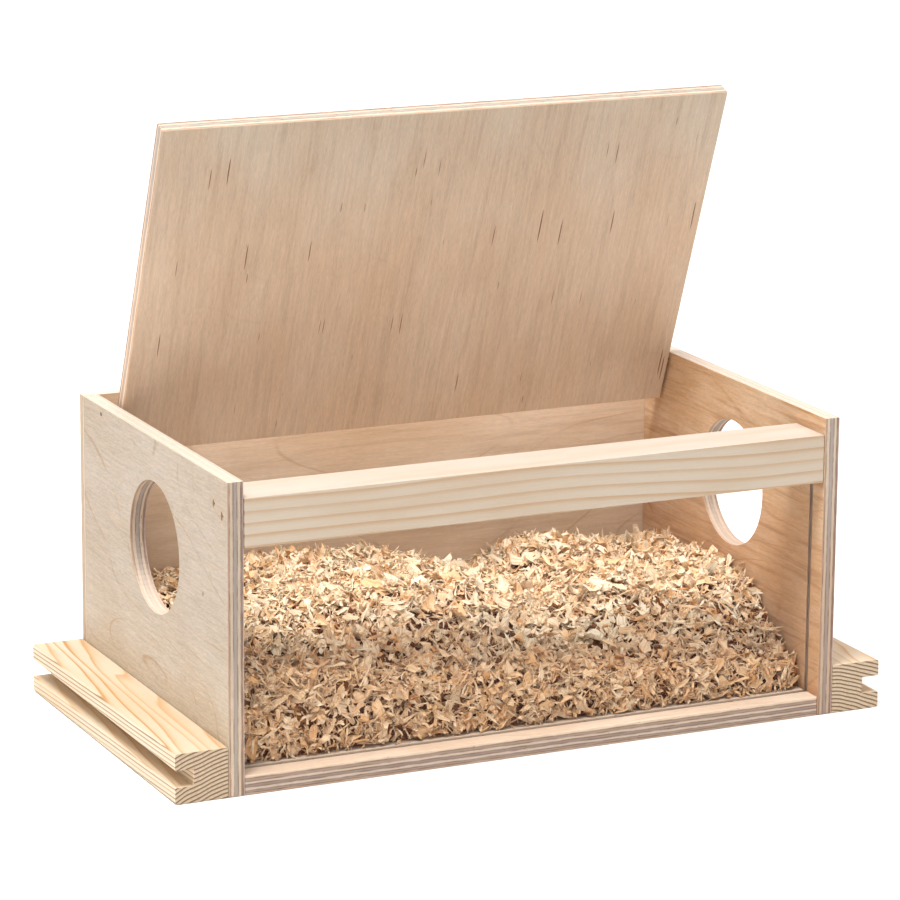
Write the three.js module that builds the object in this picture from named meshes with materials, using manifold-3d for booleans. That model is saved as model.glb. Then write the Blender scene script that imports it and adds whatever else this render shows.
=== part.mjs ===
// Small-animal cage: a plywood box with a round entry hole in each end, a clear front pane held in
// grooves, a solid-pine rail across the front, a flap lid that turns on two nails near its back edge,
// and a grooved pine connector rail along the foot of each end.
// Millimetres, +Z up, +X to the right, front towards -Y. Origin: centre of the footprint, on the ground.
import * as THREE from "three";
import { mergeVertices } from "three/addons/utils/BufferGeometryUtils.js";
import Module from "manifold-3d";

const wasm = await Module();
wasm.setup();

// ---- driving dimensions -------------------------------------------------------------------------
const BOX_W = 363; // outside of one side wall to outside of the other
const DEPTH = 218; // front edge to back face of the back panel
const BOX_H = 170; // ground to the top edge of the walls
const PLY = 9; // side walls
const BACK_T = 6; // back panel
const FLOOR_T = 10.6; // floor panel
const GAP = 0.3; // clearance left between pieces that touch

const BAR_D = 31; // front crossbar, front to back
const BAR_H = 27; // front crossbar, height
const BAR_TOP = 160.9;

const PANE_T = 3;
const PANE_IN = 12; // pane's front face behind the front of the box
const GROOVE_W = 3.6; // pane groove
const GROOVE_DEPTH = 4;

const HOLE_R = 36.5; // entry holes
const HOLE_FROM_FRONT = 104.7;
const HOLE_Z = 109.5;

const LID_T = 8.7;
const LID_W = 341;
const LID_FRONT = 182; // pivot to front edge
const LID_REAR = 24.5; // pivot to rear edge
const LID_OPEN = 69; // stored pose, degrees open from closed
const PIVOT_FROM_FRONT = 184.5;
const PIVOT_Z = 165.5;

const RAIL_W = 29.7; // connector rails
const RAIL_H = 27.5;
const RAIL_GROOVE_H = 9.4;
const RAIL_GROOVE_D = 10.5;
const RAIL_EDGE_R = 1.6;

const NAIL_R = 1.2; // lid pivot nails
const NAIL_CLEAR = 0.1;
const BRAD_R = 0.75; // finishing brads
const SCREW_R = 1.9; // connector rail screws

const BED_TOP = 90; // nothing in the loose fill stands higher than this
const BED_SHELL = 9; // thickness of the heap's shell

const FRONT = -DEPTH / 2;
const BACK = DEPTH / 2;
const WALL_OUT = BOX_W / 2;
const WALL_IN = WALL_OUT - PLY;
const BACK_IN = BACK - BACK_T;
const PIVOT_Y = FRONT + PIVOT_FROM_FRONT;

// ---- solids -------------------------------------------------------------------------------------
function toSolid(geometry) {
  const g = geometry.clone();
  g.deleteAttribute("normal");
  g.deleteAttribute("uv");
  const m = mergeVertices(g, 1e-4);
  return new wasm.Manifold(
    new wasm.Mesh({
      numProp: 3,
      vertProperties: Float32Array.from(m.attributes.position.array),
      triVerts: Uint32Array.from(m.index.array),
    }),
  );
}
function toGeometry(solid) {
  const m = solid.getMesh();
  const v = new Float32Array(m.numVert * 3);
  for (let i = 0; i < m.numVert; i++)
    v.set(m.vertProperties.subarray(i * m.numProp, i * m.numProp + 3), i * 3);
  const g = new THREE.BufferGeometry();
  g.setAttribute("position", new THREE.BufferAttribute(v, 3));
  g.setIndex(new THREE.BufferAttribute(Uint32Array.from(m.triVerts), 1));
  const flat = g.toNonIndexed();
  flat.computeVertexNormals();
  return flat;
}
const cut = (a, ...rest) => rest.reduce((s, b) => s.subtract(toSolid(b)), a);

// A box between two corners.
function slab(x0, x1, y0, y1, z0, z1) {
  return new THREE.BoxGeometry(x1 - x0, y1 - y0, z1 - z0).translate(
    (x0 + x1) / 2,
    (y0 + y1) / 2,
    (z0 + z1) / 2,
  );
}
// A round bar along an axis, from a to b on that axis.
function bar(axis, r, a, b, p, q, sides = 16) {
  const g = new THREE.CylinderGeometry(r, r, b - a, sides, 1); // stands along Y
  if (axis === "x") g.rotateZ(-Math.PI / 2).translate((a + b) / 2, p, q);
  if (axis === "y") g.translate(p, (a + b) / 2, q);
  if (axis === "z") g.rotateX(Math.PI / 2).translate(p, q, (a + b) / 2);
  return g;
}

const look = (color, roughness, extra = {}) =>
  new THREE.MeshStandardMaterial({ color, roughness, metalness: 0, ...extra });
const BIRCH = look(0xe3cba9, 0.62);
const PINE = look(0xe6cfa4, 0.55);
const CLEAR = look(0xf2f3f8, 0.08, { transparent: true, opacity: 0.25 });
const STEEL = look(0x8d8a86, 0.4, { metalness: 0.9 });
const SHAVINGS = look(0xd9b98a, 0.95);

const cage = new THREE.Group();
const body = new THREE.Group();
cage.add(body);
const lid = new THREE.Group();
cage.add(lid);
function piece(group, name, geometry, material) {
  const m = new THREE.Mesh(geometry, material);
  m.name = name;
  group.add(m);
  return m;
}

// ---- side walls ---------------------------------------------------------------------------------
const PANE_Y0 = FRONT + PANE_IN;
const GROOVE_Y0 = PANE_Y0 - (GROOVE_W - PANE_T) / 2;
const BAR_BOTTOM = BAR_TOP - BAR_H;
const BRAD_YZ = [
  [FRONT + 6.5, 150.5],
  [FRONT + 18, 154.7],
];
const FLOOR_BRAD_Y = [FRONT + 40, 0, BACK - 40];
const SCREW_Y = [FRONT + 32, 6, BACK - 34];
const SCREW_Z = 20;
const BACK_BRAD_Z = [30, 85, 140];
const BACK_BRAD_FLOOR_X = [-120, 0, 120];

function sideWall(s) {
  // s is -1 for the left wall and +1 for the right one
  const xa = s < 0 ? -WALL_OUT : WALL_IN;
  const xb = s < 0 ? -WALL_IN : WALL_OUT;
  let w = toSolid(slab(xa, xb, FRONT, BACK_IN - GAP, 0, BOX_H));
  w = cut(
    w,
    bar("x", HOLE_R, xa - 5, xb + 5, FRONT + HOLE_FROM_FRONT, HOLE_Z, 72),
    s < 0
      ? slab(xb - GROOVE_DEPTH, xb + 5, GROOVE_Y0, GROOVE_Y0 + GROOVE_W, FLOOR_T - GROOVE_DEPTH, BAR_BOTTOM + GROOVE_DEPTH)
      : slab(xa - 5, xa + GROOVE_DEPTH, GROOVE_Y0, GROOVE_Y0 + GROOVE_W, FLOOR_T - GROOVE_DEPTH, BAR_BOTTOM + GROOVE_DEPTH),
    bar("x", NAIL_R + NAIL_CLEAR, xa - 5, xb + 5, PIVOT_Y, PIVOT_Z, 24),
  );
  for (const [y, z] of BRAD_YZ) {
    w = cut(w, bar("x", BRAD_R + 0.1, xa - 5, xb + 5, y, z, 12));
  }
  for (const y of FLOOR_BRAD_Y) w = cut(w, bar("x", BRAD_R + 0.1, xa - 5, xb + 5, y, FLOOR_T / 2, 12));
  for (const y of SCREW_Y) w = cut(w, bar("x", SCREW_R + 0.1, xa - 5, xb + 5, y, SCREW_Z, 16));
  for (const z of BACK_BRAD_Z) w = cut(w, bar("y", BRAD_R + 0.1, BACK_IN - 16, BACK_IN + 5, s * (WALL_OUT - PLY / 2), z, 12));
  return toGeometry(w);
}
piece(body, "left_side_wall", sideWall(-1), BIRCH);
piece(body, "right_side_wall", sideWall(1), BIRCH);

// ---- back panel, over the rear edges of the walls and floor ---------------------------------------
let back = toSolid(slab(-WALL_OUT, WALL_OUT, BACK_IN, BACK, 0, BOX_H));
for (const s of [-1, 1])
  for (const z of BACK_BRAD_Z)
    back = cut(back, bar("y", BRAD_R + 0.1, BACK_IN - 5, BACK + 5, s * (WALL_OUT - PLY / 2), z, 12));
for (const x of BACK_BRAD_FLOOR_X)
  back = cut(back, bar("y", BRAD_R + 0.1, BACK_IN - 5, BACK + 5, x, FLOOR_T / 2, 12));
piece(body, "back_panel", toGeometry(back), BIRCH);

// ---- floor, between the walls, with the pane's groove in its top ----------------------------------
const INSIDE = WALL_IN - GAP;
let floor = cut(
  toSolid(slab(-INSIDE, INSIDE, FRONT, BACK_IN - GAP, 0, FLOOR_T)),
  slab(-INSIDE - 5, INSIDE + 5, GROOVE_Y0, GROOVE_Y0 + GROOVE_W, FLOOR_T - GROOVE_DEPTH, FLOOR_T + 5),
);
for (const s of [-1, 1])
  for (const y of FLOOR_BRAD_Y)
    floor = cut(
      floor,
      s < 0
        ? bar("x", BRAD_R + 0.1, -INSIDE - 5, -INSIDE + 17, y, FLOOR_T / 2, 12)
        : bar("x", BRAD_R + 0.1, INSIDE - 17, INSIDE + 5, y, FLOOR_T / 2, 12),
    );
for (const x of BACK_BRAD_FLOOR_X)
  floor = cut(floor, bar("y", BRAD_R + 0.1, BACK_IN - 16, BACK_IN + 5, x, FLOOR_T / 2, 12));
piece(body, "floor_panel", toGeometry(floor), BIRCH);

// ---- solid-pine crossbar, with the pane's groove in its underside ----------------------------------
let crossbar = cut(
  toSolid(slab(-INSIDE, INSIDE, FRONT, FRONT + BAR_D, BAR_BOTTOM, BAR_TOP)),
  slab(-INSIDE - 5, INSIDE + 5, GROOVE_Y0, GROOVE_Y0 + GROOVE_W, BAR_BOTTOM - 5, BAR_BOTTOM + GROOVE_DEPTH),
);
for (const s of [-1, 1])
  for (const [y, z] of BRAD_YZ)
    crossbar = cut(
      crossbar,
      s < 0
        ? bar("x", BRAD_R + 0.1, -INSIDE - 5, -INSIDE + 17, y, z, 12)
        : bar("x", BRAD_R + 0.1, INSIDE - 17, INSIDE + 5, y, z, 12),
    );
piece(body, "front_crossbar", toGeometry(crossbar), PINE);

// ---- clear pane, its four edges in the grooves -----------------------------------------------------
const PANE_X = WALL_IN + GROOVE_DEPTH - 0.4;
piece(
  body,
  "front_pane",
  slab(-PANE_X, PANE_X, PANE_Y0, PANE_Y0 + PANE_T, FLOOR_T - GROOVE_DEPTH + 0.3, BAR_BOTTOM + GROOVE_DEPTH - 0.3),
  CLEAR,
);

// ---- connector rails, full depth, with the groove in the outer face ---------------------------------
function roundedOutline(corners) {
  // corners: [x, z, r] in order; r is the corner's rounding
  const s = new THREE.Shape();
  const n = corners.length;
  corners.forEach(([x, z, r], i) => {
    const [px, pz] = corners[(i + n - 1) % n];
    const [nx, nz] = corners[(i + 1) % n];
    const a = new THREE.Vector2(px - x, pz - z).normalize().multiplyScalar(r);
    const b = new THREE.Vector2(nx - x, nz - z).normalize().multiplyScalar(r);
    if (i === 0) s.moveTo(x + a.x, z + a.y);
    else s.lineTo(x + a.x, z + a.y);
    if (r > 0) s.quadraticCurveTo(x, z, x + b.x, z + b.y);
  });
  s.closePath();
  return s;
}
function rail(s) {
  const inner = WALL_OUT + GAP;
  const outer = inner + RAIL_W;
  const g0 = (RAIL_H - RAIL_GROOVE_H) / 2;
  const g1 = (RAIL_H + RAIL_GROOVE_H) / 2;
  const outline = roundedOutline([
    [inner, 0, 0.6],
    [outer, 0, RAIL_EDGE_R],
    [outer, g0, 0.8],
    [outer - RAIL_GROOVE_D, g0, 0.2],
    [outer - RAIL_GROOVE_D, g1, 0.2],
    [outer, g1, 0.8],
    [outer, RAIL_H, RAIL_EDGE_R],
    [inner, RAIL_H, 0.6],
  ]);
  const g = new THREE.ExtrudeGeometry(outline, { depth: DEPTH, bevelEnabled: false, curveSegments: 5, steps: 1 });
  // The outline lies in XY and is drawn out along Z: stand it up so that it runs front to back.
  g.rotateX(Math.PI / 2).translate(0, BACK, 0);
  if (s < 0) g.rotateZ(Math.PI);
  let r = toSolid(g);
  for (const y of SCREW_Y)
    r = cut(
      r,
      s < 0
        ? bar("x", SCREW_R + 0.1, -inner - 16, -inner + 5, y, SCREW_Z, 16)
        : bar("x", SCREW_R + 0.1, inner - 5, inner + 16, y, SCREW_Z, 16),
    );
  return toGeometry(r);
}
piece(body, "left_connector_rail", rail(-1), PINE);
piece(body, "right_connector_rail", rail(1), PINE);

// ---- fasteners ---------------------------------------------------------------------------------------
// Brads are driven flush; each is a straight shank with a small dome set into the face.
function brad(axis, a, b, p, q) {
  return bar(axis, BRAD_R, a, b, p, q, 10);
}
for (const [side, s] of [
  ["left", -1],
  ["right", 1],
]) {
  const out = s * (WALL_OUT - 0.2);
  const along = (inner) => [Math.min(out, s * inner), Math.max(out, s * inner)];
  BRAD_YZ.forEach(([y, z], i) => {
    const [a, b] = along(INSIDE - 16);
    piece(body, side + "_crossbar_brad_" + (i + 1), brad("x", a, b, y, z), STEEL);
  });
  FLOOR_BRAD_Y.forEach((y, i) => {
    const [a, b] = along(INSIDE - 16);
    piece(body, side + "_floor_brad_" + (i + 1), brad("x", a, b, y, FLOOR_T / 2), STEEL);
  });
  BACK_BRAD_Z.forEach((z, i) => {
    piece(
      body,
      side + "_back_brad_" + (i + 1),
      brad("y", BACK_IN - 15, BACK - 0.2, s * (WALL_OUT - PLY / 2), z),
      STEEL,
    );
  });
  // Screws through the wall into the rail, heads flush with the wall's inner face.
  SCREW_Y.forEach((y, i) => {
    const tip = s * (WALL_OUT + GAP + 15);
    const head = s * (WALL_IN + 0.2);
    piece(
      body,
      side + "_rail_screw_" + (i + 1),
      bar("x", SCREW_R, Math.min(tip, head), Math.max(tip, head), y, SCREW_Z, 14),
      STEEL,
    );
  });
}
BACK_BRAD_FLOOR_X.forEach((x, i) => {
  piece(body, "floor_back_brad_" + (i + 1), brad("y", BACK_IN - 15, BACK - 0.2, x, FLOOR_T / 2), STEEL);
});

// ---- lid, turning on two nails driven through the walls into its side edges ----------------------------
// Built closed, in a group at the pivot, then swung open.
lid.position.set(0, PIVOT_Y, PIVOT_Z);
lid.rotation.x = (-LID_OPEN * Math.PI) / 180;
const NAIL_IN = 22; // nail's reach into the lid
const LID_X = LID_W / 2;
let flap = toSolid(slab(-LID_X, LID_X, -LID_FRONT, LID_REAR, -LID_T / 2, LID_T / 2));
for (const s of [-1, 1])
  flap = cut(
    flap,
    s < 0
      ? bar("x", NAIL_R + NAIL_CLEAR, -LID_X - 5, -LID_X + NAIL_IN + 1, 0, 0, 24)
      : bar("x", NAIL_R + NAIL_CLEAR, LID_X - NAIL_IN - 1, LID_X + 5, 0, 0, 24),
  );
piece(lid, "lid_panel", toGeometry(flap), BIRCH);
for (const [side, s] of [
  ["left", -1],
  ["right", 1],
]) {
  const a = s * (WALL_OUT - 0.2);
  const b = s * (LID_X - NAIL_IN);
  piece(lid, side + "_pivot_nail", bar("x", NAIL_R, Math.min(a, b), Math.max(a, b), 0, 0, 24), STEEL);
}

// ---- loose fill: one low mound of wood shavings, higher at the left and back ----------------------------
function moundHeight(x, y) {
  const u = (x + WALL_IN) / (2 * WALL_IN); // 0 at the left wall, 1 at the right wall
  const v = (y - (PANE_Y0 + PANE_T)) / (BACK_IN - PANE_Y0 - PANE_T); // 0 at the pane, 1 at the back
  const bump = (c, w) => Math.exp(-Math.pow((u - c) / w, 2));
  const atPane = 58 - 35 * Math.pow(u, 1.15);
  const atBack = 62.3 + 16.3 * bump(0.29, 0.32) + 13.3 * bump(0.723, 0.074) - 11.8 * bump(0.646, 0.109);
  const rise = Math.min(1, v * 2.8);
  const ease = rise * rise * (3 - 2 * rise);
  const far = Math.max(0, (v - 0.69) / 0.31); // the heap sinks again towards the back panel
  const fall = 12.2 * far * far * (3 - 2 * far);
  const lump = 1.8 * Math.sin(x * 0.045 + 0.6) * Math.cos(y * 0.06) + 1.2 * Math.sin(x * 0.021 - y * 0.035 + 1.1);
  return Math.min(BED_TOP - 4, atPane + (atBack - atPane) * ease - fall + lump);
}
function heap(x0, x1, y0, y1, z0, drop) {
  // A closed heap: the mound's surface lowered by drop on top, flat at z0 underneath.
  const nx = 32,
    ny = 18;
  const pos = [];
  const idx = [];
  for (let j = 0; j <= ny; j++)
    for (let i = 0; i <= nx; i++) {
      const x = x0 + ((x1 - x0) * i) / nx,
        y = y0 + ((y1 - y0) * j) / ny;
      pos.push(x, y, Math.max(z0 + 1, moundHeight(x, y) - drop));
    }
  const top = (i, j) => j * (nx + 1) + i;
  const base = pos.length / 3;
  // The underside repeats the border only.
  const ring = [];
  for (let i = 0; i < nx; i++) ring.push(top(i, 0));
  for (let j = 0; j < ny; j++) ring.push(top(nx, j));
  for (let i = nx; i > 0; i--) ring.push(top(i, ny));
  for (let j = ny; j > 0; j--) ring.push(top(0, j));
  for (const t of ring) pos.push(pos[t * 3], pos[t * 3 + 1], z0);
  const centre = pos.length / 3;
  pos.push((x0 + x1) / 2, (y0 + y1) / 2, z0);
  for (let j = 0; j < ny; j++)
    for (let i = 0; i < nx; i++) {
      const a = top(i, j),
        b = top(i + 1, j),
        c = top(i + 1, j + 1),
        d = top(i, j + 1);
      idx.push(a, b, c, a, c, d);
    }
  const n = ring.length;
  for (let i = 0; i < n; i++) {
    const k = (i + 1) % n;
    idx.push(ring[k], ring[i], base + i, ring[k], base + i, base + k);
    idx.push(base + i, centre, base + k);
  }
  const g = new THREE.BufferGeometry();
  g.setAttribute("position", new THREE.Float32BufferAttribute(pos, 3));
  g.setIndex(idx);
  return g;
}
// Loose shavings weigh about a seventh of solid wood, so the heap is a shell over a hollow underside.
const BED_X = INSIDE - 0.2;
const BED_Y0 = PANE_Y0 + PANE_T + 0.6;
const BED_Y1 = BACK_IN - GAP - 0.3;
const BED_Z0 = FLOOR_T + GAP;
const BED_RIM = 6;
const bedding = cut(
  toSolid(heap(-BED_X, BED_X, BED_Y0, BED_Y1, BED_Z0, 0)),
  heap(-BED_X + BED_RIM, BED_X - BED_RIM, BED_Y0 + BED_RIM, BED_Y1 - BED_RIM, BED_Z0 - 5, BED_SHELL),
);
piece(body, "wood_shavings_bedding", toGeometry(bedding), SHAVINGS);

export default cage;
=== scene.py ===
import math

import bpy
import numpy as np
from mathutils import Matrix, Vector


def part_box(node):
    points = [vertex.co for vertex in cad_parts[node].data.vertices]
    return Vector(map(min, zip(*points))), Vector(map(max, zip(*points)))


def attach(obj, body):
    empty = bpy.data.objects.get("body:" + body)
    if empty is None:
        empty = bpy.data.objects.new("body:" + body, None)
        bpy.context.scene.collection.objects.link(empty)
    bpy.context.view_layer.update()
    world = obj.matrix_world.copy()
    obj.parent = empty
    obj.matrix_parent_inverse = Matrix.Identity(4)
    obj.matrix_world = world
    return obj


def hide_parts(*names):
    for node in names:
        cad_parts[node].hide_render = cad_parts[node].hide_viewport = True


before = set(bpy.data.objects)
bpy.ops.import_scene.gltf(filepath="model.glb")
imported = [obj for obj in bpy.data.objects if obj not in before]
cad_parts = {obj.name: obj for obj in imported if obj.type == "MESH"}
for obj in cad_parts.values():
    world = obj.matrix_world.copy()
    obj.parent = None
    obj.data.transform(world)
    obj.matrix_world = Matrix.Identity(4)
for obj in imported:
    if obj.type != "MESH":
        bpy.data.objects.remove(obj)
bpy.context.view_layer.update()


scene = bpy.context.scene
MM = 0.001

# ------------------------------------------------------------------------------------------------
# Camera
# ------------------------------------------------------------------------------------------------
YAW, PITCH, ROLL = math.radians(25.2599), math.radians(-14.0074), math.radians(0.4509)
cam_data = bpy.data.cameras.new("camera")
cam_data.sensor_width = 36.0
cam_data.lens = 4209.4364 / 900.0 * 36.0
cam_data.clip_start = 0.05
cam_data.clip_end = 60.0
cam = bpy.data.objects.new("camera", cam_data)
scene.collection.objects.link(cam)
fwd = Vector((math.sin(YAW) * math.cos(PITCH), math.cos(YAW) * math.cos(PITCH), math.sin(PITCH)))
right = Vector((math.cos(YAW), -math.sin(YAW), 0.0))
up = right.cross(fwd)
r2 = right * math.cos(ROLL) + up * math.sin(ROLL)
u2 = -right * math.sin(ROLL) + up * math.cos(ROLL)
m = Matrix.Identity(4)
for i in range(3):
    m[i][0], m[i][1], m[i][2] = r2[i], u2[i], -fwd[i]
m[0][3], m[1][3], m[2][3] = -0.97119, -2.05038, 0.71045
cam.matrix_world = m
scene.camera = cam
scene.view_settings.view_transform = "Standard"
scene.view_settings.look = "None"

# ------------------------------------------------------------------------------------------------
# Node helpers
# ------------------------------------------------------------------------------------------------


class Mat:
    """A material whose graph is written with small calls. Sockets and constants can be mixed freely."""

    def __init__(self, name, roughness=0.6):
        self.m = bpy.data.materials.new(name)
        self.m.use_nodes = True
        self.nt = self.m.node_tree
        self.nt.nodes.clear()
        self.out = self.new("ShaderNodeOutputMaterial")
        self.bsdf = self.new("ShaderNodeBsdfPrincipled")
        self.bsdf.inputs["Roughness"].default_value = roughness
        self.nt.links.new(self.bsdf.outputs[0], self.out.inputs[0])

    def new(self, kind, **attrs):
        n = self.nt.nodes.new(kind)
        for k, v in attrs.items():
            setattr(n, k, v)
        return n

    def put(self, socket, value):
        if isinstance(value, bpy.types.NodeSocket):
            self.nt.links.new(value, socket)
        elif isinstance(value, (tuple, list)) and len(value) == 3 and socket.type == "RGBA":
            socket.default_value = (*value, 1.0)
        else:
            socket.default_value = value

    def math(self, op, a, b=0.0, c=0.0, clamp=False):
        n = self.new("ShaderNodeMath", operation=op, use_clamp=clamp)
        for i, v in enumerate((a, b, c)):
            if i < len(n.inputs):
                self.put(n.inputs[i], v)
        return n.outputs[0]

    def vec(self, op, a, b=(0.0, 0.0, 0.0), scale=1.0):
        n = self.new("ShaderNodeVectorMath", operation=op)
        self.put(n.inputs[0], a)
        if op == "SCALE":
            n.inputs["Scale"].default_value = scale
        elif op not in ("LENGTH", "NORMALIZE"):
            self.put(n.inputs[1], b)
        return n.outputs["Value"] if op in ("LENGTH", "DOT_PRODUCT", "DISTANCE") else n.outputs[0]

    def split(self, v):
        n = self.new("ShaderNodeSeparateXYZ")
        self.put(n.inputs[0], v)
        return n.outputs[0], n.outputs[1], n.outputs[2]

    def join(self, x, y, z):
        n = self.new("ShaderNodeCombineXYZ")
        for i, v in enumerate((x, y, z)):
            self.put(n.inputs[i], v)
        return n.outputs[0]

    def noise(self, v, scale=1.0, detail=2.0, rough=0.5, distort=0.0):
        n = self.new("ShaderNodeTexNoise")
        self.put(n.inputs["Vector"], v)
        n.inputs["Scale"].default_value = scale
        n.inputs["Detail"].default_value = detail
        n.inputs["Roughness"].default_value = rough
        n.inputs["Distortion"].default_value = distort
        return n.outputs[0]

    def cells(self, v, scale=1.0, randomness=1.0):
        n = self.new("ShaderNodeTexVoronoi", feature="F1")
        self.put(n.inputs["Vector"], v)
        n.inputs["Scale"].default_value = scale
        n.inputs["Randomness"].default_value = randomness
        return n.outputs["Distance"], n.outputs["Color"]

    def span(self, v, a, b, lo=0.0, hi=1.0, smooth=True):
        n = self.new("ShaderNodeMapRange")
        if smooth:
            n.interpolation_type = "SMOOTHSTEP"
        self.put(n.inputs[0], v)
        n.inputs[1].default_value = a
        n.inputs[2].default_value = b
        n.inputs[3].default_value = lo
        n.inputs[4].default_value = hi
        return n.outputs[0]

    def mix(self, fac, a, b, blend="MIX"):
        n = self.new("ShaderNodeMix", data_type="RGBA", blend_type=blend)
        self.put(n.inputs[0], fac)
        self.put(n.inputs[6], a)
        self.put(n.inputs[7], b)
        return n.outputs[2]

    def mixf(self, fac, a, b):
        n = self.new("ShaderNodeMix", data_type="FLOAT")
        self.put(n.inputs[0], fac)
        self.put(n.inputs[2], a)
        self.put(n.inputs[3], b)
        return n.outputs[0]

    def ramp(self, fac, stops, interp="LINEAR"):
        n = self.new("ShaderNodeValToRGB")
        r = n.color_ramp
        r.interpolation = interp
        while len(r.elements) < len(stops):
            r.elements.new(0.5)
        for e, (p, col) in zip(r.elements, stops):
            e.position = p
            e.color = (*col, 1.0) if len(col) == 3 else col
        self.put(n.inputs[0], fac)
        return n.outputs[0]

    def bump(self, height, strength=0.3, distance=0.0004, normal=None):
        n = self.new("ShaderNodeBump")
        n.inputs["Strength"].default_value = strength
        n.inputs["Distance"].default_value = distance
        self.put(n.inputs["Height"], height)
        if normal is not None:
            self.put(n.inputs["Normal"], normal)
        return n.outputs[0]

    def add(self, *vals):
        out = vals[0]
        for v in vals[1:]:
            out = self.math("ADD", out, v)
        return out

    def mul(self, a, b):
        return self.math("MULTIPLY", a, b)

    def place(self, axes, turn=None):
        """The part's own millimetre axes as (along the grain, across it, through the board), and the same for the normal."""
        tc = self.new("ShaderNodeTexCoord")
        p, n = tc.outputs["Object"], tc.outputs["Normal"]
        if turn:
            pivot, angle = turn
            p = self.vec("SUBTRACT", p, pivot)
            outs = []
            for v in (p, n):
                r = self.new("ShaderNodeVectorRotate", rotation_type="X_AXIS")
                self.put(r.inputs["Vector"], v)
                r.inputs["Angle"].default_value = angle
                outs.append(r.outputs[0])
            p, n = outs
        p = self.vec("SCALE", p, scale=1000.0)
        ps, ns = self.split(p), self.split(n)
        return [ps[i] for i in axes], [ns[i] for i in axes]


def srgb(r, g, b):
    def one(c):
        c /= 255.0
        return c / 12.92 if c <= 0.04045 else ((c + 0.055) / 1.055) ** 2.4

    return (one(r), one(g), one(b))


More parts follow.
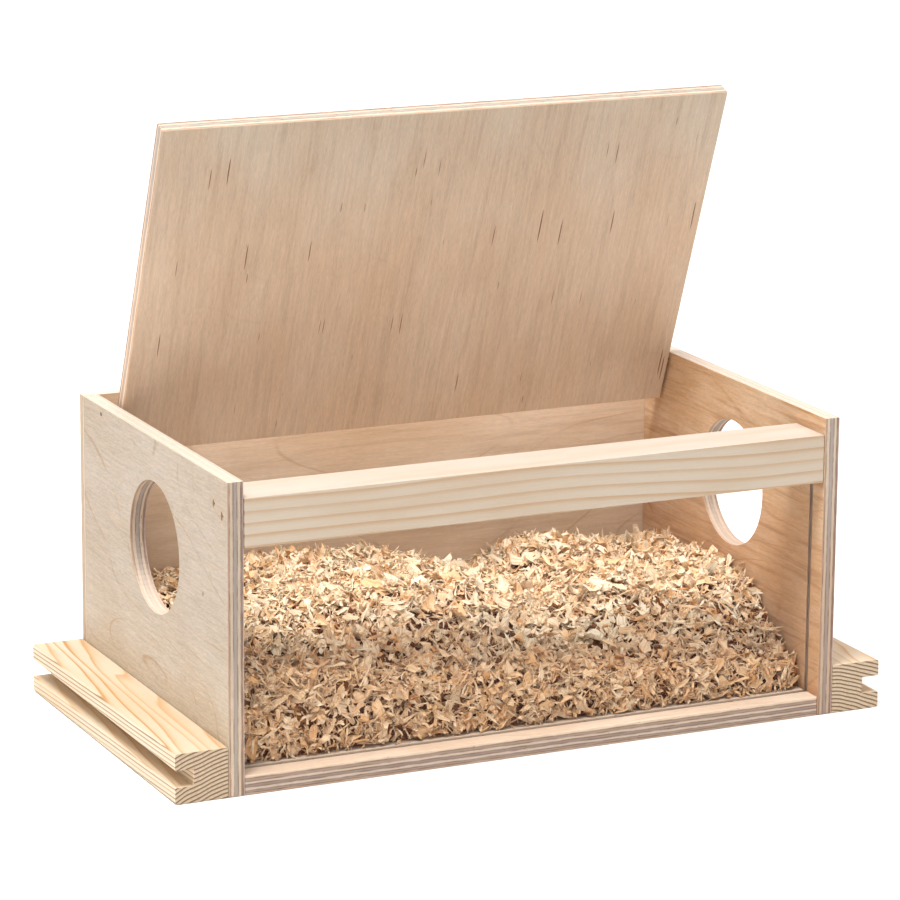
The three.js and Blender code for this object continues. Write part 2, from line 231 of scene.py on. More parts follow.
# ------------------------------------------------------------------------------------------------
# Materials
# ------------------------------------------------------------------------------------------------
def plywood(name, axes, lo, hi, light, warm, dark, plies, flecks=0.0, lines=0.5, seed=0.0, turn=None, figure=1.0, line_scale=1.0, tone_and_light_gain=(1.0, 1.0, 1.0), painted_light_fade=None, marks=(), up_axis=1, edge_tone_and_light_gain=(1.0, 1.0, 1.0), streaks=0.15):
    """Sanded birch plywood. Its faces are rotary-cut veneer, and its cut edges show the plies by depth.
    axes: which of x, y, z run along the grain, across it and through the board; lo, hi: the two faces' depth, in mm."""
    k = Mat(name, 0.62)
    (g, c, d), (ng, nc, nd) = k.place(axes, turn)
    gs, cs = k.math("ADD", g, seed * 137.0), k.math("ADD", c, seed * 61.0)

    # veneer: slow tone drift, long fibres, fine fibres
    drift = k.noise(k.join(k.mul(gs, 0.011), k.mul(cs, 0.022), seed), 1.0, 3.0, 0.55)
    silk = k.noise(k.join(k.mul(gs, 0.035), k.mul(cs, 0.30), seed + 3.0), 1.0, 3.0, 0.6, 0.4)
    fibre = k.noise(k.join(k.mul(gs, 0.050), k.mul(cs, 0.62), seed + 5.0), 1.0, 4.0, 0.70)
    pores = k.noise(k.join(k.mul(gs, 0.24), k.mul(cs, 1.9), seed + 7.0), 1.0, 3.0, 0.68)
    face = k.mix(k.span(drift, 0.30, 0.70), light, warm)
    face = k.mix(k.mul(k.span(silk, 0.35, 0.75), min(1.0, 0.30 * figure)), face, warm)
    shade = k.add(
        k.mul(k.math("SUBTRACT", fibre, 0.5), 0.34 * figure),
        k.mul(k.math("SUBTRACT", pores, 0.5), 0.34 * figure),
        k.mul(k.math("SUBTRACT", silk, 0.5), 0.10 * figure),
        1.0,
    )

    broad = k.noise(k.join(k.mul(gs, 0.010), k.mul(cs, 0.17), seed + 17.0), 1.0, 3.0, 0.6, 0.3)
    face = k.mix(k.mul(k.span(broad, 0.46, 0.68), streaks), face, dark)

    # growth lines: contours of a slow field, thin and tan
    field = k.noise(k.join(k.mul(gs, 0.0046 * line_scale), k.mul(cs, 0.0115 * line_scale), seed + 11.0), 1.0, 0.6, 0.4, 0.1)
    field = k.add(k.mul(field, 10.0), k.mul(k.noise(k.join(k.mul(gs, 0.05), k.mul(cs, 0.12), seed), 1.0, 2.0, 0.5), 0.10))
    ring = k.math("ABSOLUTE", k.math("SUBTRACT", k.math("FRACT", field), 0.5))
    broken = k.noise(k.join(k.mul(gs, 0.03), k.mul(cs, 0.05), seed + 13.0), 1.0, 2.0, 0.5)
    line = k.mul(k.span(ring, 0.0, 0.045, 1.0, 0.0), k.mul(k.span(broken, 0.34, 0.62), lines))
    halo = k.mul(k.span(ring, 0.0, 0.22, 1.0, 0.0), 0.30 * lines)
    face = k.mix(halo, face, warm)
    face = k.mix(line, face, dark)

    # short dark streaks along the grain
    if flecks > 0.0:
        for n, (a, b, r0, cut, depth) in enumerate(((0.020, 0.50, 0.24, 0.80, 0.9), (0.050, 0.62, 0.20, 0.93, 0.75))):
            wob = k.mul(k.noise(k.join(k.mul(gs, 0.06), k.mul(cs, 0.2), 3.0 + n), 1.0, 1.0), 1.6)
            dist, col = k.cells(k.join(k.mul(gs, a), k.math("ADD", k.mul(cs, b), k.mul(wob, 0.18)), seed + 21.0 + n * 9.0))
            pick = k.split(col)[0]
            size = k.mul(k.split(col)[1], r0)
            soft = k.mul(k.mul(k.span(k.math("SUBTRACT", dist, size), -0.06, 0.0, 1.0, 0.0), k.math("GREATER_THAN", pick, 1.0 - (1.0 - cut) * flecks)), depth)
            face = k.mix(soft, face, dark)

    # cut edges: plies by depth, wavering a little, with glue lines, and small voids painted dark as the shade inside
    # them
    t = k.math("DIVIDE", k.math("SUBTRACT", d, lo), hi - lo)
    waver = k.noise(k.join(k.mul(gs, 0.05), k.mul(cs, 0.05), k.mul(d, 0.12)), 1.0, 2.0, 0.5)
    t = k.add(t, k.mul(k.math("SUBTRACT", waver, 0.5), 0.05))
    stops = []
    glue = []
    total = sum(w for w, _ in plies)
    at = 0.0
    for w, col in plies:
        stops.append((at / total, col))
        if at > 0:
            glue.append(at / total)
        at += w
    edge = k.ramp(t, stops, "CONSTANT")
    streak = k.noise(k.join(k.mul(gs, 0.16), k.mul(cs, 0.16), k.mul(d, 4.2)), 1.0, 3.0, 0.65)
    grit = k.noise(k.join(k.mul(gs, 1.9), k.mul(cs, 1.9), k.mul(d, 2.6)), 1.0, 3.0, 0.7)
    lines_at = None
    for q in glue:
        near = k.span(k.math("ABSOLUTE", k.math("SUBTRACT", t, q)), 0.0, 0.060, 1.0, 0.0)
        lines_at = near if lines_at is None else k.math("MAXIMUM", lines_at, near)
    if lines_at is not None:
        patch = k.noise(k.join(k.mul(gs, 0.09), k.mul(cs, 0.09), k.mul(d, 0.5)), 1.0, 3.0, 0.6)
        edge = k.mix(k.mul(lines_at, k.span(patch, 0.36, 0.62, 0.15, 0.70)), edge, srgb(104, 76, 54))
    # painted shade: small voids in the plies get a dark brown colour and a dent, standing for the shade inside a cavity
    # that has no geometry
    vd, vcol = k.cells(k.join(k.mul(gs, 0.16), k.mul(cs, 0.16), k.mul(d, 1.1)))
    void = k.mul(k.math("LESS_THAN", vd, 0.13), k.math("GREATER_THAN", k.split(vcol)[0], 0.80))
    edge = k.mix(k.mul(void, 0.75), edge, srgb(84, 58, 40))
    edge_shade = k.add(k.mul(k.math("SUBTRACT", streak, 0.5), 0.75), k.mul(k.math("SUBTRACT", grit, 0.5), 0.45), 1.0)

    on_face = k.span(k.math("ABSOLUTE", nd), 0.55, 0.80)
    # whole-board multipliers on faces and cut edges: partly the board's own tone and partly painted light, each board
    # made lighter or darker as a whole for how brightly it is lit
    face = k.mix(1.0, face, tone_and_light_gain, "MULTIPLY")
    edge = k.mix(1.0, edge, edge_tone_and_light_gain, "MULTIPLY")
    # painted highlight: cut edges that face up are lightened towards pale cream, for the light falling on them from
    # above
    facing_up = k.span((ng, nc, nd)[up_axis], 0.25, 0.95)
    edge = k.mix(k.mul(facing_up, 0.55), edge, srgb(232, 212, 194))
    # brad marks: a dark dot at each brad, partly the dark sunken head and partly painted shade in its hole, with a
    # faint darker ring of wood round it
    for g0, c0, rg, rc in marks:
        mg = k.math("DIVIDE", k.math("SUBTRACT", g, g0), rg)
        mc = k.math("DIVIDE", k.math("SUBTRACT", c, c0), rc)
        away = k.math("SQRT", k.add(k.mul(mg, mg), k.mul(mc, mc)))
        face = k.mix(k.span(away, 0.75, 1.25, 1.0, 0.0), face, srgb(44, 33, 26))
        face = k.mix(k.span(away, 1.0, 2.6, 0.25, 0.0), face, dark)
    colour = k.mix(on_face, edge, face)
    tone = k.mixf(on_face, edge_shade, shade)
    colour = k.mix(1.0, colour, k.join(tone, tone, tone), "MULTIPLY")
    # painted light: a brightness gradient along one axis of the board, for how the light falls across it; lighter low
    # on the left wall, darker and warmer low on the right wall's inner face, and graded along the lid
    if painted_light_fade:
        which, a, b, tint = painted_light_fade
        colour = k.mix(k.span((g, c, d)[which], a, b, 1.0, 0.0), colour, k.mix(1.0, colour, tint, "MULTIPLY"))
    k.put(k.bsdf.inputs["Base Color"], colour)
    k.put(k.bsdf.inputs["Roughness"], k.mixf(on_face, 0.80, k.add(0.50, k.mul(fibre, 0.22))))
    height = k.mixf(on_face, k.add(streak, k.mul(grit, 0.8), k.mul(void, -2.0)), k.add(fibre, k.mul(pores, 0.6), k.mul(line, -0.4)))
    k.put(k.bsdf.inputs["Normal"], k.bump(height, 0.35, 0.00022))
    k.bsdf.inputs["Specular IOR Level"].default_value = 0.35
    return k.m


def pine(name, axes, pith, spacing, light, tan, deep, taper=0.0, wander=2.2, seed=0.0, top_band=1.0, end_dark=0.92, soft=0.62, brown=None, side_wander=2.0, line_face=0.0, ripple=0.020, top=(1.0, 1.0, 1.0), turn=None):
    """Planed softwood: yearly rings round a pith line that runs along the grain, so faces show stripes and
    loops and the ends show the rings themselves."""
    k = Mat(name, 0.55)
    brown = brown or deep
    (g, a, b), (ng, na, nb) = k.place(axes, turn)
    gs = k.math("ADD", g, seed * 211.0)
    wob = k.noise(k.join(k.mul(gs, 0.0052), k.mul(a, ripple), k.mul(b, 0.012)), 1.0, 1.0, 0.4)
    fine = k.noise(k.join(k.mul(gs, 0.035), k.mul(a, 0.16), k.mul(b, 0.16)), 1.0, 2.0, 0.5)
    ra = k.math("SUBTRACT", a, pith[0])
    rb = k.math("SUBTRACT", b, pith[1])
    r = k.math("SQRT", k.add(k.mul(ra, ra), k.mul(rb, rb)))
    r = k.add(r, k.mul(k.math("SUBTRACT", wob, 0.5), k.mixf(k.span(k.math("ABSOLUTE", nb), 0.5, 0.8), side_wander * 2.0, wander * 2.0)), k.mul(k.math("SUBTRACT", fine, 0.5), 0.35), k.mul(g, taper))
    turns = k.math("DIVIDE", r, spacing)
    year = k.math("FLOOR", turns)
    phase = k.math("FRACT", turns)
    each = k.noise(k.join(k.mul(year, 7.31), seed, 2.0), 1.0, 0.0)
    band = k.ramp(
        phase,
        [(0.0, (0.0, 0.0, 0.0)), (0.40, (0.04, 0.04, 0.04)), (soft, (0.28, 0.28, 0.28)), (0.84, (0.90, 0.90, 0.90)), (0.93, (1.0, 1.0, 1.0)), (1.0, (0.0, 0.0, 0.0))],
    )
    band = k.mul(band, k.span(each, 0.25, 0.75, 0.55, 1.0))
    band = k.mul(band, k.mixf(k.span(nb, 0.5, 0.85), 1.0, top_band))
    fibre = k.noise(k.join(k.mul(gs, 0.06), k.mul(a, 1.5), k.mul(b, 1.5)), 1.0, 3.0, 0.6)
    pores = k.noise(k.join(k.mul(gs, 0.35), k.mul(a, 4.2), k.mul(b, 4.2)), 1.0, 2.0, 0.6)
    drift = k.noise(k.join(k.mul(gs, 0.012), k.mul(a, 0.05), k.mul(b, 0.05)), 1.0, 2.0, 0.5)
    side = k.mix(k.mul(band, 0.85), light, tan)
    upright = k.span(k.math("ABSOLUTE", na), 0.5, 0.8)
    side = k.mix(k.mul(k.span(band, 0.55, 0.95), k.mixf(upright, 0.75, 0.0)), side, deep)
    side = k.mix(k.mul(k.span(band, 0.25, 0.7), k.mul(upright, line_face)), side, brown)
    side = k.mix(k.mul(k.span(drift, 0.35, 0.75), 0.25), side, tan)
    shade = k.add(k.mul(k.math("SUBTRACT", fibre, 0.5), 0.15), k.mul(k.math("SUBTRACT", pores, 0.5), 0.13), 1.0)
    # end grain: cream with sharp brown rings and tiny pores
    ring = k.span(phase, 0.45, 0.78)
    ring = k.mul(ring, k.span(phase, 0.95, 1.0, 1.0, 0.0))
    pits = k.noise(k.join(k.mul(g, 0.5), k.mul(a, 3.4), k.mul(b, 3.4)), 1.0, 3.0, 0.75)
    end = k.mix(k.span(pits, 0.42, 0.70), tuple(v * 0.93 for v in light), tuple(v * 0.55 for v in tan))
    end = k.mix(k.mul(ring, end_dark), end, srgb(112, 76, 50))
    end_shade = k.add(k.mul(k.math("SUBTRACT", pits, 0.5), 0.40), 0.90)
    on_end = k.span(k.math("ABSOLUTE", ng), 0.60, 0.85)
    colour = k.mix(on_end, side, end)
    tone = k.mixf(on_end, shade, end_shade)
    colour = k.mix(1.0, colour, k.join(tone, tone, tone), "MULTIPLY")
    # painted light: faces that point up are multiplied by a tint, lighter on the crossbar and darker on the rails, for
    # how the light falls on them
    colour = k.mix(k.span(nb, 0.5, 0.85), colour, k.vec("MULTIPLY", colour, top))
    k.put(k.bsdf.inputs["Base Color"], colour)
    k.put(k.bsdf.inputs["Roughness"], k.mixf(on_end, k.add(0.46, k.mul(band, -0.08), k.mul(fibre, 0.16)), 0.82))
    height = k.mixf(on_end, k.add(fibre, k.mul(pores, 0.6), k.mul(band, 0.5)), k.add(pits, k.mul(ring, 0.8)))
    k.put(k.bsdf.inputs["Normal"], k.bump(height, 0.32, 0.00022))
    k.bsdf.inputs["Specular IOR Level"].default_value = 0.4
    return k.m


def acrylic(name):
    """Thin clear sheet: almost nothing face on, a faint cool tint in its cut edges."""
    k = Mat(name, 0.04)
    (x, y, z), (nx, ny, nz) = k.place((0, 1, 2))
    edge = k.span(k.math("ABSOLUTE", ny), 0.5, 0.8, 1.0, 0.0)
    dust = k.noise(k.join(k.mul(x, 0.05), k.mul(y, 0.05), k.mul(z, 0.05)), 1.0, 4.0, 0.6)
    k.put(k.bsdf.inputs["Base Color"], k.mix(edge, (0.42, 0.44, 0.48), (0.44, 0.42, 0.54)))
    k.put(k.bsdf.inputs["Alpha"], k.mixf(edge, k.span(dust, 0.3, 0.8, 0.006, 0.020), 0.60))
    k.bsdf.inputs["Specular IOR Level"].default_value = 0.3
    k.put(k.bsdf.inputs["Roughness"], k.span(dust, 0.2, 0.9, 0.03, 0.09))
    return k.m


def steel(name):
    k = Mat(name, 0.38)
    (x, y, z), _ = k.place((0, 1, 2))
    v = k.join(x, y, z)
    spots = k.noise(v, 2.2, 4.0, 0.65)
    scratch = k.noise(k.join(k.mul(x, 0.7), k.mul(y, 6.0), k.mul(z, 6.0)), 1.0, 2.0, 0.6)
    # the steel is dark: partly its dull patina and partly painted shade, as the brad heads sit sunk in their holes
    colour = k.ramp(spots, [(0.3, srgb(48, 40, 35)), (0.55, srgb(74, 66, 60)), (0.8, srgb(58, 46, 38))])
    k.put(k.bsdf.inputs["Base Color"], colour)
    k.bsdf.inputs["Metallic"].default_value = 0.6
    k.put(k.bsdf.inputs["Roughness"], k.span(spots, 0.3, 0.8, 0.32, 0.62))
    k.put(k.bsdf.inputs["Normal"], k.bump(scratch, 0.2, 0.00005))
    return k.m


PLY5 = [
    (1.1, srgb(196, 164, 138)),
    (2.0, srgb(216, 194, 170)),
    (2.3, srgb(178, 164, 152)),
    (1.9, srgb(214, 192, 168)),
    (0.9, srgb(172, 140, 118)),
    (0.8, srgb(206, 186, 178)),
]
PLY7 = [
    (1.0, srgb(184, 158, 136)),
    (1.5, srgb(152, 132, 118)),
    (1.5, srgb(194, 175, 160)),
    (1.8, srgb(146, 126, 113)),
    (1.5, srgb(196, 176, 158)),
    (1.8, srgb(156, 134, 119)),
    (1.5, srgb(212, 188, 162)),
]
PLY3 = [(1.0, srgb(214, 196, 178)), (3.0, srgb(186, 162, 138)), (1.0, srgb(212, 192, 174))]

LW = [v * 1000 for v in (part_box("left_side_wall")[0][0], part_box("left_side_wall")[1][0])]
RW = [v * 1000 for v in (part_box("right_side_wall")[0][0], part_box("right_side_wall")[1][0])]
BP = [v * 1000 for v in (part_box("back_panel")[0][1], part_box("back_panel")[1][1])]
FL = [v * 1000 for v in (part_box("floor_panel")[0][2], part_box("floor_panel")[1][2])]
PIVOT = (0.0, 0.0755, 0.1655)
OPEN = math.radians(69.0)

# painted light: the boards are one birch ply, but each has its own colours and multipliers, partly its own tone and
# partly set for how brightly that board is lit; the right wall's inner face is darker and warmer, as the shade inside
# the box
WALL_L = srgb(228, 211, 189)
WALL_W = srgb(218, 196, 168)
WALL_D = srgb(198, 158, 114)
mats = {
    "left_side_wall": plywood("birch_left", (1, 2, 0), *LW, WALL_L, WALL_W, WALL_D, PLY5, flecks=0.10, lines=0.6, seed=1.0, figure=2.3, tone_and_light_gain=(0.61, 0.61, 0.64), painted_light_fade=(1, 22.0, 95.0, (1.20, 1.21, 1.17)), edge_tone_and_light_gain=(0.67, 0.66, 0.67), streaks=0.10, marks=((-101.2, 150.4, 1.2, 2.5), (-89.9, 154.8, 1.1, 2.1), (-74.5, 101.7, 0.7, 1.3))),
    "right_side_wall": plywood("birch_right", (1, 2, 0), *RW, srgb(224, 198, 168), srgb(204, 166, 126), srgb(168, 122, 82), PLY5, flecks=0.12, lines=0.45, seed=4.0, figure=1.9, tone_and_light_gain=(1.0, 0.99, 1.0), painted_light_fade=(1, 60.0, 150.0, (0.90, 0.82, 0.76)), edge_tone_and_light_gain=(0.76, 0.76, 0.79), streaks=0.55),
    "back_panel": plywood("birch_back", (0, 2, 1), *BP, srgb(236, 208, 182), srgb(222, 188, 156), srgb(184, 142, 106), PLY3, flecks=0.1, lines=0.4, seed=7.0, figure=1.15, tone_and_light_gain=(0.92, 0.97, 1.0), streaks=0.25),
    "floor_panel": plywood("birch_floor", (0, 1, 2), *FL, srgb(228, 206, 184), srgb(214, 186, 160), srgb(180, 142, 110), PLY7, flecks=0.15, lines=0.4, seed=9.0, up_axis=2, tone_and_light_gain=(0.95, 0.97, 1.0)),
    "lid_panel": plywood("birch_lid", (1, 0, 2), -4.35, 4.35, srgb(220, 196, 170), srgb(212, 182, 152), srgb(112, 70, 42), PLY5, flecks=1.0, lines=0.05, seed=12.0, turn=(PIVOT, OPEN), figure=1.5, up_axis=0, tone_and_light_gain=(0.71, 0.745, 0.79), edge_tone_and_light_gain=(0.9, 0.9, 0.92), streaks=0.12, painted_light_fade=(0, -70.0, -190.0, (1.25, 1.16, 1.10))),
    "front_crossbar": pine("pine_bar", (0, 1, 2), (-56.0, 12.0), 6.0, srgb(186, 171, 153), srgb(170, 135, 96), srgb(146, 105, 64), taper=0.020, side_wander=7.0, wander=2.5, seed=2.0, top_band=0.22, top=(1.20, 1.20, 1.30)),
    "left_connector_rail": pine("pine_rail_left", (1, 0, 2), (-158.0, -96.0), 2.2, srgb(222, 204, 178), srgb(206, 158, 98), srgb(194, 134, 72), taper=0.030, side_wander=1.2, wander=3.6, seed=5.0, brown=srgb(128, 98, 72), ripple=0.062, line_face=0.85, top=(0.88, 0.87, 0.87)),
    "right_connector_rail": pine("pine_rail_right", (1, 0, 2), (164.0, -90.0), 2.2, srgb(222, 204, 178), srgb(206, 158, 98), srgb(194, 134, 72), taper=-0.028, side_wander=1.2, wander=3.6, seed=8.0, brown=srgb(128, 98, 72), ripple=0.062, line_face=0.85, top=(0.88, 0.87, 0.87)),
    "front_pane": acrylic("clear_acrylic"),
}
metal = steel("plain_steel")
for name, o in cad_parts.items():
    mat = mats.get(name, metal)
    if name == "wood_shavings_bedding":
        continue
    if not o.material_slots:
        o.data.materials.append(mat)
    for s in o.material_slots:
        s.material = mat

# Boards: weld the imported facets and break the sharp edges, as sandpaper does.
for name, width in (
    ("left_side_wall", 0.45),
    ("right_side_wall", 0.45),
    ("floor_panel", 0.4),
    ("lid_panel", 0.5),
    ("front_crossbar", 0.7),
    ("left_connector_rail", 0.3),
    ("right_connector_rail", 0.3),
):
    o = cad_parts[name]
    w = o.modifiers.new("weld", "WELD")
    w.merge_threshold = 0.00002
    b = o.modifiers.new("bevel", "BEVEL")
    b.width = width * MM
    b.segments = 2
    b.limit_method = "ANGLE"
    b.angle_limit = math.radians(40)
    b.use_clamp_overlap = True

# ------------------------------------------------------------------------------------------------
# Wood shavings
# ------------------------------------------------------------------------------------------------
WALL_IN = 172.5
PANE_BACK = -94.0
BACK_IN = 103.0
FLOOR_TOP = 10.6


def mound(x, y):
    """Height of the heap in mm, the same low mound as the solid that it stands for."""
    u = (x + WALL_IN) / (2 * WALL_IN)
    v = (y - PANE_BACK) / (BACK_IN - PANE_BACK)

    def bump(c, w):
        return np.exp(-(((u - c) / w) ** 2))

    at_pane = 58 - 35 * np.clip(u, 0, 1) ** 1.15
    at_back = 62.3 + 16.3 * bump(0.29, 0.32) + 13.3 * bump(0.723, 0.074) - 11.8 * bump(0.646, 0.109)
    rise = np.clip(v * 2.8, 0, 1)
    ease = rise * rise * (3 - 2 * rise)
    far = np.clip((v - 0.69) / 0.31, 0, 1)
    fall = 12.2 * far * far * (3 - 2 * far)
    lump = 1.8 * np.sin(x * 0.045 + 0.6) * np.cos(y * 0.06) + 1.2 * np.sin(x * 0.021 - y * 0.035 + 1.1)
    clump = 1.6 * np.sin(x * 0.13 + 1.3 * np.sin(y * 0.09)) * np.sin(y * 0.12 + 0.7) + 1.0 * np.sin(x * 0.31 + y * 0.17) * np.sin(y * 0.27 - x * 0.11)
    return at_pane + (at_back - at_pane) * ease - fall + lump + clump


def shaving_material():
    k = Mat("wood_shavings", 0.7)
    tone = k.new("ShaderNodeAttribute", attribute_name="tone")
    where = k.new("ShaderNodeAttribute", attribute_name="flake")
    light, hue, deep = k.split(tone.outputs["Vector"])
    u, v, w = k.split(where.outputs["Vector"])
    grain = k.noise(k.join(k.mul(u, 0.5), k.mul(v, 5.0), w), 1.0, 3.0, 0.6)
    ring = k.noise(k.join(k.mul(u, 0.06), k.mul(v, 0.9), k.mul(w, 3.0)), 1.0, 1.0, 0.5)
    base = k.ramp(light, [(0.0, srgb(192, 136, 86)), (0.25, srgb(236, 188, 134)), (0.55, srgb(254, 222, 178)), (1.0, srgb(255, 248, 224))])
    base = k.mix(k.mul(hue, 0.5), base, srgb(236, 164, 98))
    base = k.mix(k.mul(k.span(ring, 0.48, 0.66), 0.45), base, srgb(196, 140, 88))
    shade = k.add(k.mul(k.math("SUBTRACT", grain, 0.5), 0.34), 1.0)
    # the third tone channel darkens each flake: a small random amount, plus painted shade on flakes close to the pane
    shade = k.mul(shade, deep)
    colour = k.mix(1.0, base, k.join(shade, shade, shade), "MULTIPLY")
    k.put(k.bsdf.inputs["Base Color"], colour)
    k.put(k.bsdf.inputs["Roughness"], k.add(0.52, k.mul(grain, 0.3)))
    k.put(k.bsdf.inputs["Normal"], k.bump(grain, 0.25, 0.0001))
    k.bsdf.inputs["Specular IOR Level"].default_value = 0.3
    return k.m


def under_material():
    k = Mat("packed_shavings", 0.9)
    (x, y, z), _ = k.place((0, 1, 2))
    v = k.join(x, y, z)
    chips = k.noise(v, 0.28, 4.0, 0.65, 0.8)
    dist, _c = k.cells(v, 0.22)
    # painted shade: the heap is coloured far darker than the flakes, so the gaps between flakes read as the shade down
    # among them
    colour = k.ramp(chips, [(0.32, srgb(74, 40, 18)), (0.5, srgb(130, 78, 40)), (0.7, srgb(186, 128, 74))])
    colour = k.mix(k.span(dist, 0.35, 0.75, 0.0, 0.6), colour, srgb(110, 62, 28))
    k.put(k.bsdf.inputs["Base Color"], colour)
    k.put(k.bsdf.inputs["Normal"], k.bump(chips, 0.3, 0.0003))
    return k.m


def shavings(rng, x, y, z, normal, scale=1.0):
    """Curled flakes, one for each given place. Each is a closed thin strip, rolled along its length and a
    little across it, with ragged ends. Returns vertices (mm), quads, tones and places on the flake."""
    n = len(x)
    ns, nw = 5, 2
    sliver = rng.random(n) < 0.60
    length = np.where(sliver, rng.lognormal(math.log(6.6), 0.42, n), rng.lognormal(math.log(7.8), 0.48, n))
    width = np.where(sliver, rng.lognormal(math.log(1.15), 0.35, n), rng.lognormal(math.log(3.4), 0.55, n))
    length, width = np.clip(length, 2.5, 20.0) * scale, np.clip(width, 0.6, 9.0) * scale
    curl = rng.choice([0.5, 1.3, 2.6, 4.4], n, p=[0.28, 0.38, 0.23, 0.11]) * rng.uniform(0.6, 1.25, n)
    cross = rng.uniform(-0.35, 0.35, n)
    twist = rng.normal(0, 0.75, n)
    thick = rng.uniform(0.14, 0.28, n)
    s = np.linspace(-0.5, 0.5, ns + 1)[None, :, None]
    t = np.linspace(-1, 1, nw + 1)[None, None, :]
    L, W, C = length[:, None, None], width[:, None, None], curl[:, None, None]
    radius = L / C
    ang = C * s
    lx = radius * np.sin(ang) + 0 * t
    lz = radius * (1 - np.cos(ang)) + 0 * t
    edge = 1 - rng.uniform(0.1, 0.85, n)[:, None, None] * np.abs(2 * s) ** rng.uniform(1.2, 6, n)[:, None, None]
    jag = 1 + rng.uniform(-0.45, 0.38, (n, ns + 1, nw + 1)) * (np.abs(t) > 0.5)
    ly = 0.5 * W * t * edge * jag
    skew = rng.normal(0, 0.22, n)[:, None, None]
    lx = lx + skew * ly + rng.uniform(-1.3, 1.3, (n, ns + 1, nw + 1)) * (np.abs(s) > 0.45) * (L / 8.0)
    lz = lz + rng.normal(0, 0.28, (n, ns + 1, nw + 1)) * np.minimum(W, 3.0) / 2.0
    lz = lz + cross[:, None, None] * W * (t**2 - 0.5) * 0.6
    # twist about the length
    tw = twist[:, None, None] * 2 * s
    ly, lz = ly * np.cos(tw) - lz * 0.0 * np.sin(tw), lz + ly * np.sin(tw)
    mid = np.stack([lx, ly, lz], -1)
    # local surface normal by differences
    du = np.gradient(mid, axis=1)
    dv = np.gradient(mid, axis=2)
    nn = np.cross(du, dv)
    nn /= np.linalg.norm(nn, axis=-1, keepdims=True) + 1e-9
    half = 0.5 * thick[:, None, None, None] * nn
    top, bot = mid + half, mid - half
    # orientation: the flake's own z towards the given normal, tilted, with any heading
    nz = normal + rng.normal(0, 0.48, (n, 3))
    nz /= np.linalg.norm(nz, axis=1, keepdims=True)
    flip = np.where(rng.random(n) < 0.5, -1.0, 1.0)[:, None]
    nz *= flip
    h = rng.normal(0, 1, (n, 3))
    ax = h - (h * nz).sum(1, keepdims=True) * nz
    ax /= np.linalg.norm(ax, axis=1, keepdims=True)
    ay = np.cross(nz, ax)
    R = np.stack([ax, ay, nz], 1)  # rows
    P = np.stack([x, y, z], 1)
    out = []
    for side in (top, bot):
        q = side.reshape(n, -1, 3)
        q = np.einsum("nij,njk->nik", q, R) + P[:, None, :]
        out.append(q)
    verts = np.concatenate(out, 1)  # n, 2*(ns+1)*(nw+1), 3
    per = (ns + 1) * (nw + 1)

    def vid(i, j, k):
        return k * per + i * (nw + 1) + j

    quads = []
    for i in range(ns):
        for j in range(nw):
            quads.append((vid(i, j, 0), vid(i + 1, j, 0), vid(i + 1, j + 1, 0), vid(i, j + 1, 0)))
            quads.append((vid(i, j, 1), vid(i, j + 1, 1), vid(i + 1, j + 1, 1), vid(i + 1, j, 1)))
    for i in range(ns):
        quads.append((vid(i, 0, 0), vid(i, 0, 1), vid(i + 1, 0, 1), vid(i + 1, 0, 0)))
        quads.append((vid(i, nw, 0), vid(i + 1, nw, 0), vid(i + 1, nw, 1), vid(i, nw, 1)))
    for j in range(nw):
        quads.append((vid(0, j, 0), vid(0, j + 1, 0), vid(0, j + 1, 1), vid(0, j, 1)))
        quads.append((vid(ns, j, 0), vid(ns, j, 1), vid(ns, j + 1, 1), vid(ns, j + 1, 0)))
    quads = np.array(quads)
    faces = (quads[None] + (np.arange(n) * 2 * per)[:, None, None]).reshape(-1, 4)
    light = np.clip(rng.beta(3.2, 0.85, n), 0, 1)
    hue = np.clip(rng.beta(1.5, 3.4, n), 0, 1)
    tone = np.repeat(np.stack([light, hue, rng.uniform(0.94, 1.0, n)], 1), 2 * per, 0)
    uu = np.broadcast_to(L * s, (n, ns + 1, nw + 1))
    vv = np.broadcast_to(0.5 * W * t, (n, ns + 1, nw + 1))
    ww = np.broadcast_to(rng.uniform(0, 90, n)[:, None, None], (n, ns + 1, nw + 1))
    flake = np.stack([uu, vv, ww], -1).reshape(n, per, 3)
    flake = np.concatenate([flake, flake], 1).reshape(-1, 3)
    return verts, faces, tone, flake


def mesh_piece(name, verts, faces, attrs, mat, body):
    me = bpy.data.meshes.new(name)
    me.vertices.add(len(verts))
    me.vertices.foreach_set("co", (np.asarray(verts) * MM).astype(np.float32).ravel())
    k = faces.shape[1]
    me.loops.add(len(faces) * k)
    me.loops.foreach_set("vertex_index", faces.astype(np.int32).ravel())
    me.polygons.add(len(faces))
    me.polygons.foreach_set("loop_start", np.arange(0, len(faces) * k, k, dtype=np.int32))
    me.update(calc_edges=True)
    for a, data in attrs.items():
        at = me.attributes.new(a, "FLOAT_VECTOR", "POINT")
        at.data.foreach_set("vector", data.astype(np.float32).ravel())
    me.validate()
    me.set_sharp_from_angle(angle=math.radians(48))
    me.materials.append(mat)
    o = bpy.data.objects.new(name, me)
    scene.collection.objects.link(o)
    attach(o, body)
    return o


def slope(x, y, e=1.0):
    gx = (mound(x + e, y) - mound(x - e, y)) / (2 * e)
    gy = (mound(x, y + e) - mound(x, y - e)) / (2 * e)
    nrm = np.stack([-gx, -gy, np.ones_like(gx)], 1)
    return nrm / np.linalg.norm(nrm, axis=1, keepdims=True)


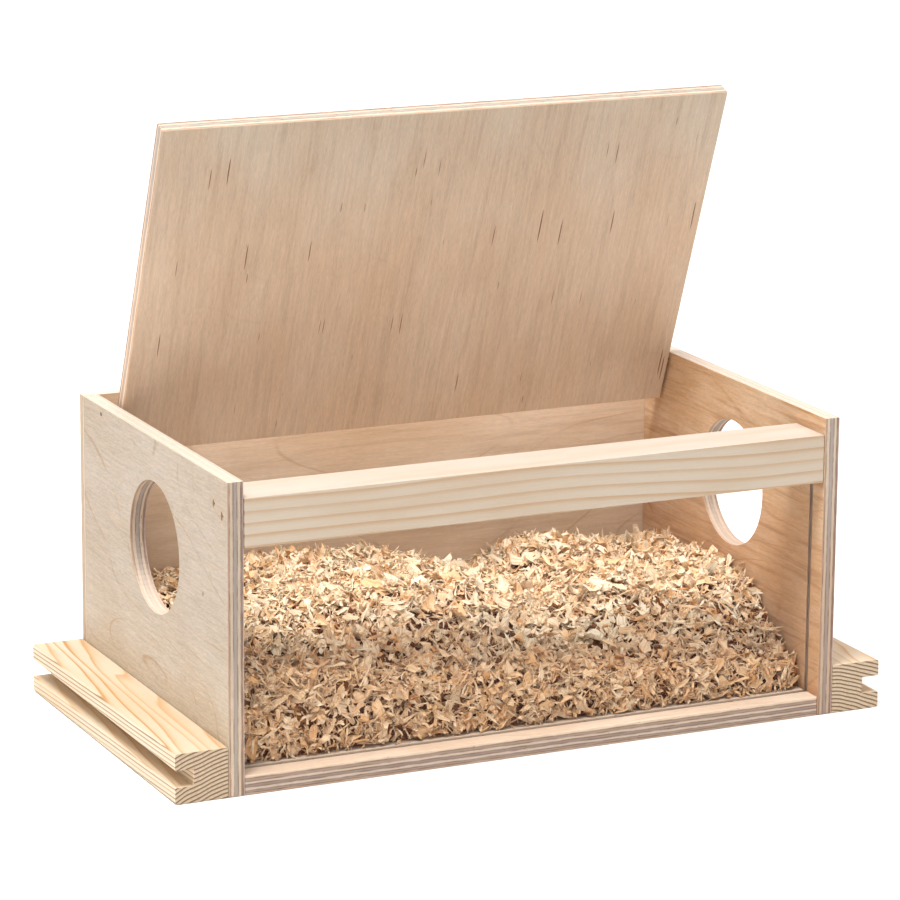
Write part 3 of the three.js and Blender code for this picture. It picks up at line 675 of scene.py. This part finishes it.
chip_mat = shaving_material()
rng = np.random.default_rng(20417)
pieces = []
FLAKES = 13000
bx = rng.uniform(-WALL_IN + 2, WALL_IN - 2, FLAKES)
by = PANE_BACK + 5 + (BACK_IN - PANE_BACK - 7) * rng.random(FLAKES) ** 1.08
bz = mound(bx, by) + rng.uniform(-5.2, 1.7, FLAKES)
bn = slope(bx, by)
FRONT_N = 1900
fx = rng.uniform(-WALL_IN + 2, WALL_IN - 2, FRONT_N * 2)
fz = FLOOR_TOP + 0.5 + rng.random(FRONT_N * 2) * 60
keep = fz < mound(fx, np.full_like(fx, PANE_BACK + 2))
fx, fz = fx[keep][:FRONT_N], fz[keep][:FRONT_N]
fy = PANE_BACK + rng.uniform(0.8, 6.5, len(fx))
fn = np.tile([0.0, -1.0, 0.15], (len(fx), 1))
sets = [(bx, by, bz, bn), (fx, fy, fz, fn)]
X, Y, Z = (np.concatenate([s[i] for s in sets]) for i in range(3))
NRM = np.concatenate([s[3] for s in sets])
order = np.argsort(X)
X, Y, Z, NRM = X[order], Y[order], Z[order], NRM[order]
PARTS = 7
per_part = int(math.ceil(len(X) / PARTS))
for i in range(PARTS):
    sl = slice(i * per_part, (i + 1) * per_part)
    verts, faces, tone, flake = shavings(rng, X[sl], Y[sl], Z[sl], NRM[sl])
    # nothing passes through the walls, the pane or the floor: a flake that would is moved inwards
    for axis, lo, hi in ((0, -WALL_IN + 0.3, WALL_IN - 0.3), (1, PANE_BACK + 0.25, BACK_IN - 0.3), (2, FLOOR_TOP + 0.2, 99.0)):
        low, high = verts[:, :, axis].min(1), verts[:, :, axis].max(1)
        verts[:, :, axis] += (np.maximum(lo - low, 0) - np.maximum(high - hi, 0))[:, None]
    # painted shade: flakes close to the pane, in the crossbar's shadow, are darkened, and a wider band towards the pane
    # is warmed, a painted warm glow for light passing through thin shavings in shade
    near = np.clip((PANE_BACK + 40 - verts[:, :, 1].mean(1)) / 32, 0, 1).repeat(verts.shape[1])
    tone[:, 0] *= 1 - 0.20 * np.clip(near * 3.2 - 2.2, 0, 1)
    tone[:, 1] += 0.32 * near
    tone[:, 2] *= 1 - 0.17 * np.clip(near * 3.2 - 2.2, 0, 1)
    v = verts.reshape(-1, 3)
    pieces.append(mesh_piece("wood_shavings_%d" % (i + 1), v, faces, {"tone": tone, "flake": flake}, chip_mat, "box"))

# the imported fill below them: a lumpy closed heap
gx = np.linspace(-WALL_IN + 0.8, WALL_IN - 0.8, 150)
gy = np.linspace(PANE_BACK + 6.5, BACK_IN - 0.8, 84)
GX, GY = np.meshgrid(gx, gy)
GZ = mound(GX, GY) - 4.2 + 1.3 * np.sin(GX * 0.7 + 2 * np.sin(GY * 0.31)) * np.sin(GY * 0.63 + 1.7 * np.sin(GX * 0.23))
GZ = np.maximum(GZ, FLOOR_TOP + 1.5)
nx, ny = len(gx), len(gy)
top = np.stack([GX, GY, GZ], -1).reshape(-1, 3)
bot = np.stack([GX, GY, np.full_like(GX, FLOOR_TOP + 0.4)], -1).reshape(-1, 3)
hv = np.concatenate([top, bot])
idx = np.arange(nx * ny).reshape(ny, nx)
q = np.stack([idx[:-1, :-1], idx[:-1, 1:], idx[1:, 1:], idx[1:, :-1]], -1).reshape(-1, 4)
qb = q[:, ::-1] + nx * ny
rim = np.concatenate([idx[0, :], idx[1:, -1], idx[-1, -2::-1], idx[-2:0:-1, 0]])
nxt = np.roll(rim, -1)
qs = np.stack([nxt, rim, rim + nx * ny, nxt + nx * ny], -1)
heap = mesh_piece("packed_shavings", hv, np.concatenate([q, qb, qs]), {}, under_material(), "box")
pieces.append(heap)
for p in pieces:
    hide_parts("wood_shavings_bedding")

# ------------------------------------------------------------------------------------------------
# Floor and light
# ------------------------------------------------------------------------------------------------
fm = Mat("studio_floor", 0.9)
fm.bsdf.inputs["Base Color"].default_value = (0.93, 0.93, 0.93, 1.0)
fm.bsdf.inputs["Specular IOR Level"].default_value = 0.1
fme = bpy.data.meshes.new("floor")
S = 14.0
fme.from_pydata([(-S, -S, 0), (S, -S, 0), (S, S, 0), (-S, S, 0)], [], [(0, 1, 2, 3)])
fme.materials.append(fm.m)
floor = bpy.data.objects.new("floor", fme)
floor.location.z = -0.0003
scene.collection.objects.link(floor)


def area(name, loc, target, size, power, colour=(1, 1, 1)):
    d = bpy.data.lights.new(name, "AREA")
    d.shape = "RECTANGLE"
    d.size, d.size_y = size
    d.energy = power
    d.color = colour
    o = bpy.data.objects.new(name, d)
    o.location = loc
    o.rotation_euler = (Vector(target) - Vector(loc)).to_track_quat("-Z", "Y").to_euler()
    scene.collection.objects.link(o)
    return o


area("key", (-0.95, -0.62, 2.6), (0, -0.03, 0.10), (0.9, 0.9), 64.0, (1.0, 0.993, 0.975))
area("front", (-0.5, -2.6, 0.9), (0, 0, 0.15), (1.4, 0.9), 2.5, (1.0, 0.99, 0.98))
area("sky", (0.0, 1.0, 5.0), (0, 1.0, 0), (9.0, 9.0), 400.0)

world = bpy.data.worlds.new("studio")
world.use_nodes = True
bg = world.node_tree.nodes["Background"]
bg.inputs[0].default_value = (1.0, 1.0, 1.0, 1.0)
bg.inputs[1].default_value = 0.48
scene.world = world
